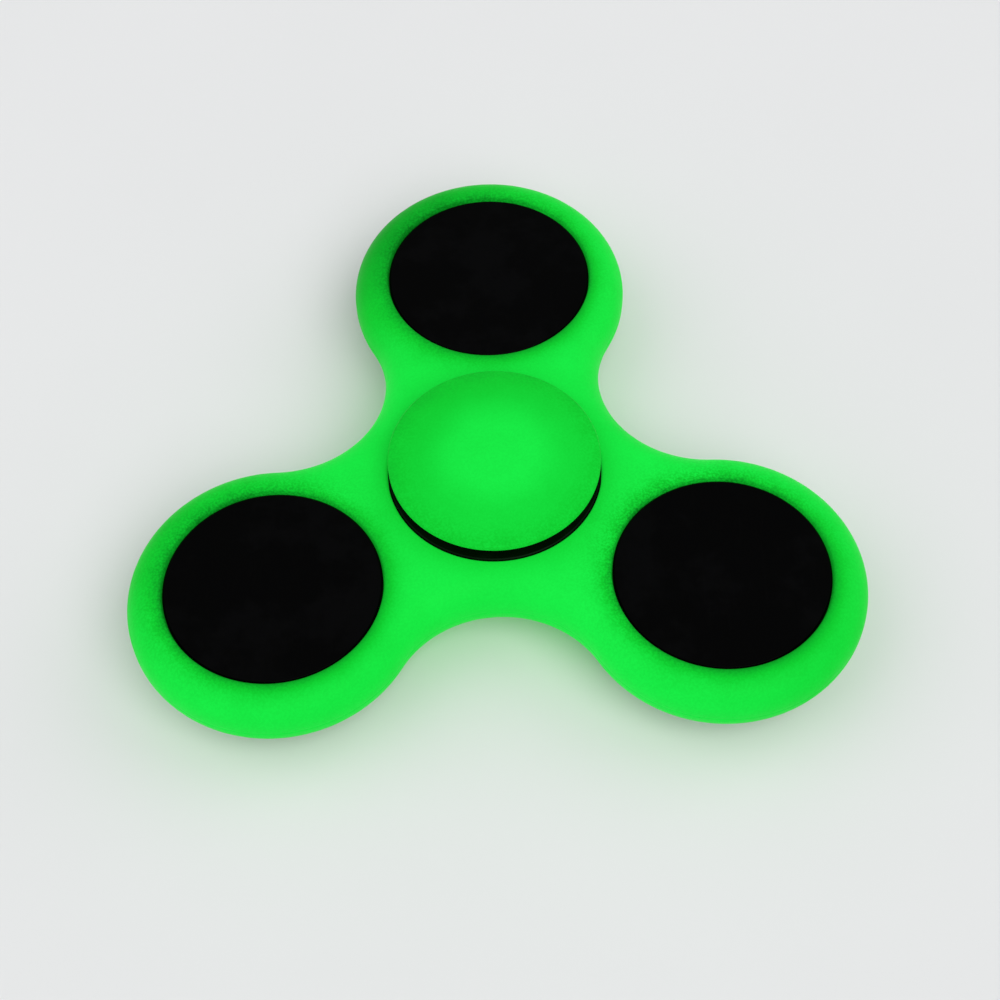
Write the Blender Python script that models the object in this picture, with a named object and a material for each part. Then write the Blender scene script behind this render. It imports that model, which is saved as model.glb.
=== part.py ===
"""Three-lobed fidget spinner, modelled as it comes apart on a bench.

A moulded frame carries a deep-groove ball bearing in its hub and a steel slug between two
snap-together covers in each lobe. Two domed finger caps press into the bearing's bore from
above and below, and the frame spins about them.

Frame: metres, +Z up along the spin axis. The origin is the middle of the lower finger cap's
flat crown, which is what the spinner stands on. One lobe points along +Y.
"""

import math

import bmesh
import bpy
from mathutils import Vector

MM = 0.001

# Clearances between neighbouring pieces
SEAT_GAP = 0.05 * MM  # pieces that press or rest on each other
RUNNING_GAP = 0.20 * MM  # pieces that turn past each other

# Ball bearing: these add up to 8 mm bore, 22 mm outside and 7 mm width
BEARING_BORE_RADIUS = 4.0 * MM
RACE_WALL = 1.45 * MM  # ring metal behind each ball groove
BALL_RADIUS = 1.984 * MM
BALL_CLEARANCE = 0.066 * MM  # ball to groove
BALL_COUNT = 7
INNER_SHOULDER = 0.55 * MM  # depth of the inner ring's groove
OUTER_SHOULDER = 0.40 * MM  # depth of the outer ring's groove
RACE_CHAMFER = 0.30 * MM
CAGE_THICKNESS = 0.30 * MM
CAGE_WIDTH = 1.50 * MM
CAGE_POCKET_GAP = 0.12 * MM
CAGE_FILLET = 0.40 * MM  # bend at the foot of each pocket, to mid-thickness
RIVET_RADIUS = 0.30 * MM
RIVET_HEAD_RADIUS = 0.50 * MM
RIVET_HEAD_HEIGHT = 0.20 * MM
SHIELD_THICKNESS = 0.28 * MM
SHIELD_STEP = 0.35 * MM  # how far the shield's middle stands above its rim
SHIELD_RIM_WIDTH = 0.70 * MM
SNAP_RING_HEIGHT = 0.28 * MM
SNAP_RING_WIDTH = 0.60 * MM
SNAP_RING_BITE = 0.30 * MM  # depth of its groove in the outer ring
SNAP_RING_PLAY = 0.08 * MM  # ring to the bottom of that groove
SNAP_RING_OPENING = math.radians(16)
RACE_LIP = 0.236 * MM  # ring metal outside the snap ring groove

# Moulded frame
HUB_WALL = 3.90 * MM  # plastic around the bearing at the waists
LOBE_WALL = 3.75 * MM  # plastic around a lobe's bore
BRIDGE = 3.75 * MM  # plastic between the hub bore and a lobe bore
LOBE_BORE_RADIUS = 11.10 * MM
BODY_THICKNESS = 7.00 * MM
EDGE_RADIUS = 3.30 * MM
LEAST_SIDE_LAND = 0.20 * MM  # half of the upright stretch between the upper and lower roundings
LEAST_RIM_LAND = 0.20 * MM  # flat between a rounding and a bore's chamfer
BORE_CHAMFER = 0.25 * MM
LOBE_COUNT = 3

# Lobe slug and its covers
SLUG_THICKNESS = 3.00 * MM
SLUG_HOLE_RADIUS = 3.00 * MM
SLUG_GAP = 0.15 * MM  # slug to bore
SLUG_CHAMFER = 0.30 * MM
COVER_RECESS = 0.40 * MM  # cover face below the frame's face
COVER_GAP = 0.10 * MM  # cover to bore
COVER_FACE = 1.00 * MM
COVER_SKIRT = 1.00 * MM
COVER_CHAMFER = 0.20 * MM
PEG_RADIUS = 1.90 * MM
PEG_LENGTH_PAST_MIDDLE = 1.00 * MM
SOCKET_WALL = 0.85 * MM

# Finger caps
CAP_INSET = 0.15 * MM  # cap edge inside the hub bore's edge
CAP_GAP = 1.40 * MM  # frame face to cap underside
CAP_EDGE = 1.00 * MM
CAP_CROWN = 0.90 * MM
CAP_LAND_RADIUS = 3.50 * MM  # flat middle of the dome
CAP_RIM_FILLET = 0.30 * MM
CAP_SHOULDER_OVERHANG = 1.20 * MM  # shoulder past the inner ring's bore
SPIGOT_WALL = 1.60 * MM
SPIGOT_END_GAP = 0.20 * MM  # spigot end to mid-plane
SPIGOT_CHAMFER = 0.25 * MM

# Facets
LOBE_ARC_STEPS = 24
WEB_ARC_STEPS = 8
EDGE_STEPS = 4
BORE_STEPS = 48
TURNED_STEPS = 36
SLUG_STEPS = 24
SMALL_STEPS = 8
GROOVE_STEPS = 3
DOME_STEPS = 4
BALL_RINGS = 6
CAGE_BEND_STEPS = 2
CAGE_POCKET_STEPS = 4  # over a quarter of the way round a ball

# Worked out from the values above
GROOVE_RADIUS = BALL_RADIUS + BALL_CLEARANCE
PITCH_RADIUS = BEARING_BORE_RADIUS + RACE_WALL + GROOVE_RADIUS
BEARING_RADIUS = PITCH_RADIUS + GROOVE_RADIUS + RACE_WALL
INNER_RACE_RADIUS = BEARING_BORE_RADIUS + RACE_WALL + INNER_SHOULDER
OUTER_LAND_RADIUS = PITCH_RADIUS + GROOVE_RADIUS - OUTER_SHOULDER
CAGE_BEND_RADIUS = BALL_RADIUS + CAGE_POCKET_GAP + CAGE_THICKNESS / 2
CAGE_LAND_HEIGHT = SEAT_GAP / 2 + CAGE_THICKNESS / 2
SHIELD_SEAT = CAGE_BEND_RADIUS + CAGE_THICKNESS / 2 + RUNNING_GAP - SEAT_GAP
SHIELD_BASE = SHIELD_SEAT + SEAT_GAP
SNAP_RING_BASE = SHIELD_BASE + SHIELD_THICKNESS + SEAT_GAP
SNAP_GROOVE_TOP = SNAP_RING_BASE + SNAP_RING_HEIGHT + SEAT_GAP
HALF_BEARING = SNAP_GROOVE_TOP + RACE_LIP
SHIELD_SEAT_RADIUS = OUTER_LAND_RADIUS + SHIELD_RIM_WIDTH / 2
EDGE_ROUNDING = min(
    EDGE_RADIUS,
    BODY_THICKNESS / 2 - LEAST_SIDE_LAND,
    min(HUB_WALL, LOBE_WALL) - BORE_CHAMFER - LEAST_RIM_LAND,
)
SNAP_GROOVE_RADIUS = SHIELD_SEAT_RADIUS + SNAP_RING_BITE
HUB_BORE_RADIUS = BEARING_RADIUS + SEAT_GAP
HUB_RADIUS = HUB_BORE_RADIUS + HUB_WALL
LOBE_RADIUS = LOBE_BORE_RADIUS + LOBE_WALL
ARM_REACH = HUB_BORE_RADIUS + BRIDGE + LOBE_BORE_RADIUS
HALF_BODY = BODY_THICKNESS / 2
COVER_RADIUS = LOBE_BORE_RADIUS - COVER_GAP
COVER_TOP = HALF_BODY - COVER_RECESS
COVER_FOOT = SLUG_THICKNESS / 2 + SEAT_GAP
SOCKET_RADIUS = PEG_RADIUS + SEAT_GAP
CAP_RADIUS = HUB_BORE_RADIUS - CAP_INSET
CAP_UNDERSIDE = max(HALF_BODY, HALF_BEARING) + CAP_GAP
HALF_HEIGHT = CAP_UNDERSIDE + CAP_EDGE + CAP_CROWN
SPIGOT_RADIUS = BEARING_BORE_RADIUS - SEAT_GAP
LOBE_ANGLES = [math.pi / 2 + 2 * math.pi * k / LOBE_COUNT for k in range(LOBE_COUNT)]
SLIDE_UP = (0, 0, HALF_HEIGHT)


def arc(centre, radius, start, end, steps):
    """Points along an arc in the plane of a profile or an outline, both ends included. Angles in degrees."""
    angles = [math.radians(start + (end - start) * k / steps) for k in range(steps + 1)]
    return [(centre[0] + radius * math.cos(a), centre[1] + radius * math.sin(a)) for a in angles]


def mirrored(profile):
    """A profile above the mid-plane, led up to by its mirror image below.

    A point on the plane is kept once.
    """
    below = [(r, -z) for r, z in reversed(profile) if z > 0]
    return below + profile


def principled(name, colour, roughness, metallic=0.0, glow=0.0):
    material = bpy.data.materials.new(name)
    material.use_nodes = True
    material.diffuse_color = (*colour, 1)
    shader = material.node_tree.nodes["Principled BSDF"]
    shader.inputs["Base Color"].default_value = (*colour, 1)
    shader.inputs["Roughness"].default_value = roughness
    shader.inputs["Metallic"].default_value = metallic
    shader.inputs["Emission Color"].default_value = (*colour, 1)
    shader.inputs["Emission Strength"].default_value = glow
    return material


def empty(name, location, parent=None):
    """A pivot: what turns together is parented to it, and it stands on its joint's axis."""
    pivot = bpy.data.objects.new(name, None)
    pivot.empty_display_size = 3 * MM
    pivot.location = location
    pivot.parent = parent
    bpy.context.scene.collection.objects.link(pivot)
    return pivot


def placed(name, mesh, material, parent, location=(0, 0, 0), rotation=(0, 0, 0)):
    """A named object for one piece."""
    piece = bpy.data.objects.new(name, mesh)
    if not mesh.materials:
        mesh.materials.append(material)
    piece.parent = parent
    piece.location = location
    piece.rotation_euler = rotation
    bpy.context.scene.collection.objects.link(piece)
    return piece


def helper(name, mesh):
    """A cutter: it shapes other pieces and isn't one itself."""
    cutter = bpy.data.objects.new(name, mesh)
    cutter.hide_render = True
    cutter.display_type = "WIRE"
    cutter.location = SLIDE_UP
    bpy.context.scene.collection.objects.link(cutter)
    return cutter


def finished(name, bm, sharp_degrees=35):
    """A mesh from bmesh with its faces pointing out and its round stretches shaded smooth."""
    bmesh.ops.recalc_face_normals(bm, faces=bm.faces)
    mesh = bpy.data.meshes.new(name)
    bm.to_mesh(mesh)
    bm.free()
    mesh.shade_smooth()
    mesh.set_sharp_from_angle(angle=math.radians(sharp_degrees))
    return mesh


def add_turned(bm, profile, steps, centre=(0, 0), angle=2 * math.pi):
    """Spins a profile of (radius, height) points about the vertical line through centre.

    A profile that starts and ends on the axis closes there. Any other is a closed ring section.
    """
    on_axis = profile[0][0] == 0 and profile[-1][0] == 0
    verts = [bm.verts.new((centre[0] + r, centre[1], z)) for r, z in profile]
    edges = [bm.edges.new(pair) for pair in zip(verts, verts[1:])]
    if not on_axis:
        edges.append(bm.edges.new((verts[-1], verts[0])))
    whole = angle > 1.999 * math.pi
    faces = [] if whole else [bm.faces.new(verts)]
    bmesh.ops.spin(
        bm, geom=verts + edges + faces, cent=(*centre, 0), axis=(0, 0, 1),
        angle=angle, steps=steps, use_merge=whole,
    )
    bmesh.ops.remove_doubles(bm, verts=bm.verts, dist=1e-4 * MM)


def turned(name, profile, steps=TURNED_STEPS, angle=2 * math.pi):
    bm = bmesh.new()
    add_turned(bm, profile, steps, angle=angle)
    return finished(name, bm)


def boolean_cut(piece, cutter):
    cut = piece.modifiers.new("cut", "BOOLEAN")
    cut.operation = "DIFFERENCE"
    cut.object = cutter


# Frame


def web_radius():
    """Radius of the hollow between two lobes: the arc touches both lobe circles and the hub circle."""
    half_pitch = math.cos(math.pi / LOBE_COUNT)
    rise = ARM_REACH**2 - 2 * ARM_REACH * HUB_RADIUS * half_pitch + HUB_RADIUS**2 - LOBE_RADIUS**2
    return rise / (2 * (LOBE_RADIUS - HUB_RADIUS + ARM_REACH * half_pitch))


def frame_outline():
    """Lobe arcs and hollow arcs in turn, each touching the next."""
    hollow = web_radius()
    reach = HUB_RADIUS + hollow
    half_pitch = 180 / LOBE_COUNT
    to_web = Vector((reach * math.cos(math.radians(half_pitch)) - ARM_REACH,
                     reach * math.sin(math.radians(half_pitch))))
    turn = math.degrees(math.atan2(to_web.y, to_web.x))  # from a lobe's direction to the touching point
    outline = []
    for lobe_angle in LOBE_ANGLES:
        facing = math.degrees(lobe_angle)
        lobe = ARM_REACH * math.cos(lobe_angle), ARM_REACH * math.sin(lobe_angle)
        outline += arc(lobe, LOBE_RADIUS, facing - turn, facing + turn, LOBE_ARC_STEPS)
        bay = lobe_angle + math.radians(half_pitch)
        bay_centre = reach * math.cos(bay), reach * math.sin(bay)
        towards_hub = facing + half_pitch + 180
        half_sweep = turn - half_pitch
        bay_arc = arc(bay_centre, hollow, towards_hub + half_sweep, towards_hub - half_sweep, WEB_ARC_STEPS)
        outline += bay_arc[1:-1]
    return outline


def bore_cutter_profile(radius):
    """A plug for a through bore with a chamfered mouth at each face."""
    beyond = HALF_BODY + BORE_CHAMFER
    return mirrored([(radius, HALF_BODY - BORE_CHAMFER), (radius + 2 * BORE_CHAMFER, beyond), (0, beyond)])


def build_frame(material, rotor):
    bm = bmesh.new()
    base = bm.faces.new([bm.verts.new((x, y, -HALF_BODY)) for x, y in frame_outline()])
    top = bmesh.ops.extrude_face_region(bm, geom=[base])
    bmesh.ops.translate(
        bm, vec=(0, 0, BODY_THICKNESS), verts=[v for v in top["geom"] if isinstance(v, bmesh.types.BMVert)]
    )
    frame = placed("spinner_frame", finished("spinner_frame", bm), material, rotor)
    rounding = frame.modifiers.new("edge rounding", "BEVEL")
    rounding.width = EDGE_ROUNDING
    rounding.segments = EDGE_STEPS
    rounding.limit_method = "ANGLE"
    rounding.angle_limit = math.radians(45)
    rounding.use_clamp_overlap = False
    cutters = bmesh.new()
    add_turned(cutters, bore_cutter_profile(HUB_BORE_RADIUS), BORE_STEPS)
    for angle in LOBE_ANGLES:
        centre = ARM_REACH * math.cos(angle), ARM_REACH * math.sin(angle)
        add_turned(cutters, bore_cutter_profile(LOBE_BORE_RADIUS), BORE_STEPS, centre)
    boolean_cut(frame, helper("bore_cutter", finished("bore_cutter", cutters)))


# Bearing


def outer_race_profile():
    """Outer ring: ball groove, shield seats and snap ring grooves inside, chamfers outside."""
    groove_edge = math.degrees(math.acos((OUTER_LAND_RADIUS - PITCH_RADIUS) / GROOVE_RADIUS))
    groove = arc((PITCH_RADIUS, 0), GROOVE_RADIUS, 0, groove_edge, GROOVE_STEPS)
    inside = groove + [
        (OUTER_LAND_RADIUS, SHIELD_SEAT),
        (SHIELD_SEAT_RADIUS, SHIELD_SEAT),
        (SHIELD_SEAT_RADIUS, SNAP_RING_BASE - SEAT_GAP),
        (SNAP_GROOVE_RADIUS, SNAP_RING_BASE - SEAT_GAP),
        (SNAP_GROOVE_RADIUS, SNAP_GROOVE_TOP),
        (SHIELD_SEAT_RADIUS, SNAP_GROOVE_TOP),
        (SHIELD_SEAT_RADIUS, HALF_BEARING),
        (BEARING_RADIUS - RACE_CHAMFER, HALF_BEARING),
        (BEARING_RADIUS, HALF_BEARING - RACE_CHAMFER),
    ]
    return mirrored(inside)


def inner_race_profile():
    """Inner ring: ball groove outside, chamfered bore inside."""
    groove_edge = math.degrees(math.acos((INNER_RACE_RADIUS - PITCH_RADIUS) / GROOVE_RADIUS))
    outside = arc((PITCH_RADIUS, 0), GROOVE_RADIUS, 180, groove_edge, GROOVE_STEPS) + [
        (INNER_RACE_RADIUS, HALF_BEARING - RACE_CHAMFER),
        (INNER_RACE_RADIUS - RACE_CHAMFER, HALF_BEARING),
        (BEARING_BORE_RADIUS + RACE_CHAMFER, HALF_BEARING),
        (BEARING_BORE_RADIUS, HALF_BEARING - RACE_CHAMFER),
    ]
    return mirrored(outside)


def shield_profile():
    """Pressed washer: a rim under the snap ring, a slope, and a raised middle that clears the inner ring."""
    rim_outer = SHIELD_SEAT_RADIUS - SEAT_GAP
    rim_inner = rim_outer - SHIELD_RIM_WIDTH - SNAP_RING_WIDTH / 2
    middle_outer = rim_inner - SHIELD_STEP
    middle_inner = INNER_RACE_RADIUS + RUNNING_GAP
    low, high = SHIELD_BASE, SHIELD_BASE + SHIELD_STEP
    under = [(middle_inner, high), (middle_outer, high), (rim_inner, low), (rim_outer, low)]
    return under + [(r, z + SHIELD_THICKNESS) for r, z in reversed(under)]


def snap_ring_profile():
    outer = SNAP_GROOVE_RADIUS - SNAP_RING_PLAY
    low, high = SNAP_RING_BASE, SNAP_RING_BASE + SNAP_RING_HEIGHT
    inner = outer - SNAP_RING_WIDTH
    return [(inner, low), (outer, low), (outer, high), (inner, high)]


def cage_fillet():
    """Radius of the bend at a pocket's foot, no larger than the flat between two pockets allows."""
    half_pitch = math.pi * PITCH_RADIUS / BALL_COUNT
    return min(CAGE_FILLET, 0.8 * (half_pitch - CAGE_BEND_RADIUS))


def cage_path():
    """Mid-thickness line of one ball pitch, unrolled: (distance along the pitch circle, height, slope angle).

    It starts on the flat before a pocket, bends up into the half circle round the ball, and comes down
    the other side.
    """
    fillet = cage_fillet()
    foot = math.sqrt((CAGE_BEND_RADIUS + fillet) ** 2 - (CAGE_LAND_HEIGHT + fillet) ** 2)
    meet = math.atan2(CAGE_LAND_HEIGHT + fillet, foot)
    half_pitch = math.pi * PITCH_RADIUS / BALL_COUNT
    rising = [(-half_pitch, CAGE_LAND_HEIGHT, 0.0)]
    for k in range(CAGE_BEND_STEPS):
        slope = (math.pi / 2 - meet) * k / CAGE_BEND_STEPS
        along = -foot + fillet * math.sin(slope)
        rising.append((along, CAGE_LAND_HEIGHT + fillet * (1 - math.cos(slope)), slope))
    for k in range(CAGE_POCKET_STEPS):
        around = meet + (math.pi / 2 - meet) * k / CAGE_POCKET_STEPS
        rising.append((-CAGE_BEND_RADIUS * math.cos(around), CAGE_BEND_RADIUS * math.sin(around),
                       math.pi / 2 - around))
    falling = [(-s, z, -slope) for s, z, slope in reversed(rising[1:])]
    return rising + [(0.0, CAGE_BEND_RADIUS, 0.0)] + falling


def cage_mesh():
    """Pressed ribbon: the path above, repeated round the pitch circle, with a flat rectangular section."""
    bm = bmesh.new()
    stations = []
    for ball in range(BALL_COUNT):
        for along, height, slope in cage_path():
            corners = []
            for side, face in ((-1, -1), (1, -1), (1, 1), (-1, 1)):
                radius = PITCH_RADIUS + side * CAGE_WIDTH / 2
                shift = along - face * CAGE_THICKNESS / 2 * math.sin(slope)
                turn = 2 * math.pi * ball / BALL_COUNT + shift / PITCH_RADIUS
                lift = height + face * CAGE_THICKNESS / 2 * math.cos(slope)
                corners.append(bm.verts.new((radius * math.cos(turn), radius * math.sin(turn), lift)))
            stations.append(corners)
    for here, ahead in zip(stations, stations[1:] + stations[:1]):
        for k in range(4):
            bm.faces.new((here[k], here[(k + 1) % 4], ahead[(k + 1) % 4], ahead[k]))
    return finished("cage_half", bm)


def rivet_profile():
    """Shank through both cage halves, with a head outside each."""
    sheet = CAGE_LAND_HEIGHT + CAGE_THICKNESS / 2 + SEAT_GAP
    upper = [
        (RIVET_RADIUS, sheet),
        (RIVET_HEAD_RADIUS, sheet),
        (RIVET_RADIUS, sheet + RIVET_HEAD_HEIGHT),
        (0, sheet + RIVET_HEAD_HEIGHT),
    ]
    return mirrored(upper)


def on_pitch_circle(index):
    angle = 2 * math.pi * index / BALL_COUNT
    return PITCH_RADIUS * math.cos(angle), PITCH_RADIUS * math.sin(angle), 0


def build_bearing(steel, pressed_steel, core, rotor, ball_set):
    flipped = (math.pi, 0, 0)
    placed("bearing_outer_race", turned("bearing_outer_race", outer_race_profile()), steel, rotor)
    placed("bearing_inner_race", turned("bearing_inner_race", inner_race_profile()), steel, core)
    shield = turned("shield", shield_profile())
    placed("shield_upper", shield, steel, rotor)
    placed("shield_lower", shield, steel, rotor, rotation=flipped)
    snap_ring = turned("snap_ring", snap_ring_profile(), angle=2 * math.pi - SNAP_RING_OPENING)
    placed("snap_ring_upper", snap_ring, steel, rotor)
    placed("snap_ring_lower", snap_ring, steel, rotor, rotation=flipped)

    holes = bmesh.new()
    hole_depth = CAGE_LAND_HEIGHT + CAGE_THICKNESS
    for k in range(BALL_COUNT):
        x, y, _ = on_pitch_circle(k + 0.5)
        hole = RIVET_RADIUS + SEAT_GAP
        add_turned(holes, [(0, -hole_depth), (hole, -hole_depth), (hole, hole_depth), (0, hole_depth)],
                   SMALL_STEPS, (x, y))
    hole_cutter = helper("rivet_hole_cutter", finished("rivet_hole_cutter", holes))
    cage = cage_mesh()
    for name, turn in (("cage_upper", (0, 0, 0)), ("cage_lower", flipped)):
        boolean_cut(placed(name, cage, pressed_steel, ball_set, rotation=turn), hole_cutter)
    rivet = turned("cage_rivet", rivet_profile(), SMALL_STEPS)
    sphere = bmesh.new()
    bmesh.ops.create_uvsphere(sphere, u_segments=2 * BALL_RINGS, v_segments=BALL_RINGS, radius=BALL_RADIUS)
    ball = finished("bearing_ball", sphere)
    for k in range(BALL_COUNT):
        placed(f"cage_rivet_{k + 1}", rivet, steel, ball_set, on_pitch_circle(k + 0.5))
        spin = empty(f"ball_{k + 1}_pivot", on_pitch_circle(k), ball_set)
        placed(f"bearing_ball_{k + 1}", ball, steel, spin)


# Lobes


def slug_profile():
    outer, hole, half = LOBE_BORE_RADIUS - SLUG_GAP, SLUG_HOLE_RADIUS, SLUG_THICKNESS / 2
    return mirrored([(outer, half - SLUG_CHAMFER), (outer - SLUG_CHAMFER, half), (hole, half)])


def cover_face_profile():
    """The outside of either cover, from the middle of its face to its skirt's inner wall."""
    return [
        (0, COVER_TOP),
        (COVER_RADIUS - COVER_CHAMFER, COVER_TOP),
        (COVER_RADIUS, COVER_TOP - COVER_CHAMFER),
        (COVER_RADIUS, COVER_FOOT),
        (COVER_RADIUS - COVER_SKIRT, COVER_FOOT),
        (COVER_RADIUS - COVER_SKIRT, COVER_TOP - COVER_FACE),
    ]


def peg_cover_profile():
    end = -PEG_LENGTH_PAST_MIDDLE
    taper = COVER_CHAMFER
    return cover_face_profile() + [
        (PEG_RADIUS, COVER_TOP - COVER_FACE),
        (PEG_RADIUS, end + taper),
        (PEG_RADIUS - taper, end),
        (0, end),
    ]


def socket_cover_profile():
    """The socket stops short of the other cover's face, and its floor clears the peg's end."""
    mouth = -PEG_LENGTH_PAST_MIDDLE
    floor = min(PEG_LENGTH_PAST_MIDDLE + 2 * SEAT_GAP, COVER_TOP - COVER_FACE / 2)
    return cover_face_profile() + [
        (SOCKET_RADIUS + SOCKET_WALL, COVER_TOP - COVER_FACE),
        (SOCKET_RADIUS + SOCKET_WALL, mouth),
        (SOCKET_RADIUS, mouth),
        (SOCKET_RADIUS, floor),
        (0, floor),
    ]


def build_lobes(black, steel, rotor):
    slug = turned("lobe_slug", slug_profile(), SLUG_STEPS)
    peg_cover = turned("peg_cover", peg_cover_profile())
    socket_cover = turned("socket_cover", socket_cover_profile())
    for k, angle in enumerate(LOBE_ANGLES, start=1):
        seat = ARM_REACH * math.cos(angle), ARM_REACH * math.sin(angle), 0
        placed(f"lobe_slug_{k}", slug, steel, rotor, seat)
        placed(f"lobe_cover_top_{k}", peg_cover, black, rotor, seat)
        placed(f"lobe_cover_bottom_{k}", socket_cover, black, rotor, seat, (math.pi, 0, 0))


# Finger caps


def cap_profile():
    """Dome with a flat crown, a short upright edge, a shoulder on the inner ring and a hollow spigot."""
    fillet = min(CAP_RIM_FILLET, CAP_EDGE / 3)
    rim_height = CAP_UNDERSIDE + CAP_EDGE
    run = CAP_RADIUS - fillet - CAP_LAND_RADIUS
    dome_radius = (run**2 + CAP_CROWN**2) / (2 * CAP_CROWN)
    dome_end = 90 - math.degrees(math.asin(run / dome_radius))
    dome = arc((CAP_LAND_RADIUS, HALF_HEIGHT - dome_radius), dome_radius, 90, dome_end, DOME_STEPS)
    shoulder = BEARING_BORE_RADIUS + CAP_SHOULDER_OVERHANG
    return (
        [(0, HALF_HEIGHT)]
        + dome
        + arc((CAP_RADIUS - fillet, rim_height - fillet), fillet, 60, 0, 2)
        + [
            (CAP_RADIUS, CAP_UNDERSIDE + fillet / 2),
            (CAP_RADIUS - fillet / 2, CAP_UNDERSIDE),
            (shoulder, CAP_UNDERSIDE),
            (shoulder, HALF_BEARING + SEAT_GAP),
            (SPIGOT_RADIUS, HALF_BEARING + SEAT_GAP),
            (SPIGOT_RADIUS, SPIGOT_END_GAP + SPIGOT_CHAMFER),
            (SPIGOT_RADIUS - SPIGOT_CHAMFER, SPIGOT_END_GAP),
            (SPIGOT_RADIUS - SPIGOT_WALL, SPIGOT_END_GAP),
            (SPIGOT_RADIUS - SPIGOT_WALL, CAP_UNDERSIDE),
            (0, CAP_UNDERSIDE),
        ]
    )


def build_caps(glow, core):
    cap = turned("finger_cap", cap_profile())
    placed("finger_cap_top", cap, glow, core)
    placed("finger_cap_bottom", cap, glow, core, rotation=(math.pi, 0, 0))


def main():
    for old in list(bpy.data.objects):
        bpy.data.objects.remove(old)
    glow = principled("glow_plastic", (0.012, 0.78, 0.055), 0.42, glow=0.6)
    black = principled("black_plastic", (0.004, 0.004, 0.005), 0.45)
    steel = principled("bearing_steel", (0.56, 0.57, 0.58), 0.22, metallic=1.0)
    pressed_steel = principled("pressed_steel", (0.42, 0.41, 0.39), 0.35, metallic=1.0)
    core = empty("core", SLIDE_UP)
    rotor = empty("rotor", SLIDE_UP)
    ball_set = empty("ball_set", SLIDE_UP)
    build_frame(glow, rotor)
    build_bearing(steel, pressed_steel, core, rotor, ball_set)
    build_lobes(black, steel, rotor)
    build_caps(glow, core)


main()
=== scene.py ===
import math

import bmesh
import bpy
import numpy as np
from mathutils import Matrix, Vector


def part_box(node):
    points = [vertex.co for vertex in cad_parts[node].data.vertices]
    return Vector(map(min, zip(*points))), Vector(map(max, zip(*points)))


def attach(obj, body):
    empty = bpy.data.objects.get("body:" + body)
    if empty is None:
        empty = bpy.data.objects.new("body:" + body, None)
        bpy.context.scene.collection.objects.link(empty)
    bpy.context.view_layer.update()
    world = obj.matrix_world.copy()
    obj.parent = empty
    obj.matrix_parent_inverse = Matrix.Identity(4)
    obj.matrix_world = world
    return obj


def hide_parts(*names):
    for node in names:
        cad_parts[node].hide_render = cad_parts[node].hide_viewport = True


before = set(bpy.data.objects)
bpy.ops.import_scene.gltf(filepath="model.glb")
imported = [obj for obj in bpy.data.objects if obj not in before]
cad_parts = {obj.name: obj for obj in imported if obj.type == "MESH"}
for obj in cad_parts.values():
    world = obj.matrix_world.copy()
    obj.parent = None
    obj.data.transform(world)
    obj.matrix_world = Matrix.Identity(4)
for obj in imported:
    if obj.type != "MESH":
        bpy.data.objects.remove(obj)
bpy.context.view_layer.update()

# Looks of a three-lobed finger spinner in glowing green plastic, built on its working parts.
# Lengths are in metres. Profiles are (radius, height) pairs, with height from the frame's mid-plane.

MM = 0.001


def middle(node):
    """Centre of a working part's box."""
    low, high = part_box(node)
    return (low + high) / 2


def half_span(node):
    """Half of a working part's width along Y."""
    low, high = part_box(node)
    return (high.y - low.y) / 2


def top_of(node):
    """Height of a working part's top above the frame's mid-plane."""
    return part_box(node)[1].z - MID


# Sizes read from the working parts
LOBE_COUNT = 3
MID = middle("spinner_frame").z
HALF_FRAME = top_of("spinner_frame")
LOBE_AXES = [middle(f"lobe_cover_top_{k + 1}").xy for k in range(LOBE_COUNT)]
ARM_REACH = LOBE_AXES[0].length
LOBE_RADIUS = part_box("spinner_frame")[1].y - ARM_REACH
COVER_RADIUS = half_span("lobe_cover_top_1")
COVER_TOP = top_of("lobe_cover_top_1")
SLUG_RADIUS = half_span("lobe_slug_1")
SLUG_TOP = top_of("lobe_slug_1")
CAP_RADIUS = half_span("finger_cap_top")
CAP_TOP = top_of("finger_cap_top")
SPIGOT_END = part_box("finger_cap_top")[0].z - MID
BEARING_RADIUS = half_span("bearing_outer_race")
BEARING_TOP = top_of("bearing_outer_race")
INNER_RACE_RADIUS = half_span("bearing_inner_race")
BALL_COUNT = 7
BALL_RADIUS = half_span("bearing_ball_1")
PITCH_RADIUS = middle("bearing_ball_1").x
SHIELD_TOP = top_of("shield_upper")
SHIELD_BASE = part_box("shield_upper")[0].z - MID
SHIELD_RADIUS = half_span("shield_upper")
SNAP_RING_TOP = top_of("snap_ring_upper")
SNAP_RING_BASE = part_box("snap_ring_upper")[0].z - MID
CAGE_TOP = top_of("cage_upper")
RIVET_TOP = top_of("cage_rivet_1")

# Moulded frame
HUB_WALL = 3.90 * MM
SEAT_GAP = 0.05 * MM
HUB_BORE_RADIUS = BEARING_RADIUS + SEAT_GAP
HUB_RADIUS = HUB_BORE_RADIUS + HUB_WALL
LOBE_BORE_RADIUS = COVER_RADIUS + 0.10 * MM
EDGE_RADIUS = 3.30 * MM
BORE_MOUTH = 0.28 * MM  # rounding of a bore's edge
PARTING_WIDTH = 0.10 * MM
PARTING_DEPTH = 0.03 * MM

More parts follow.
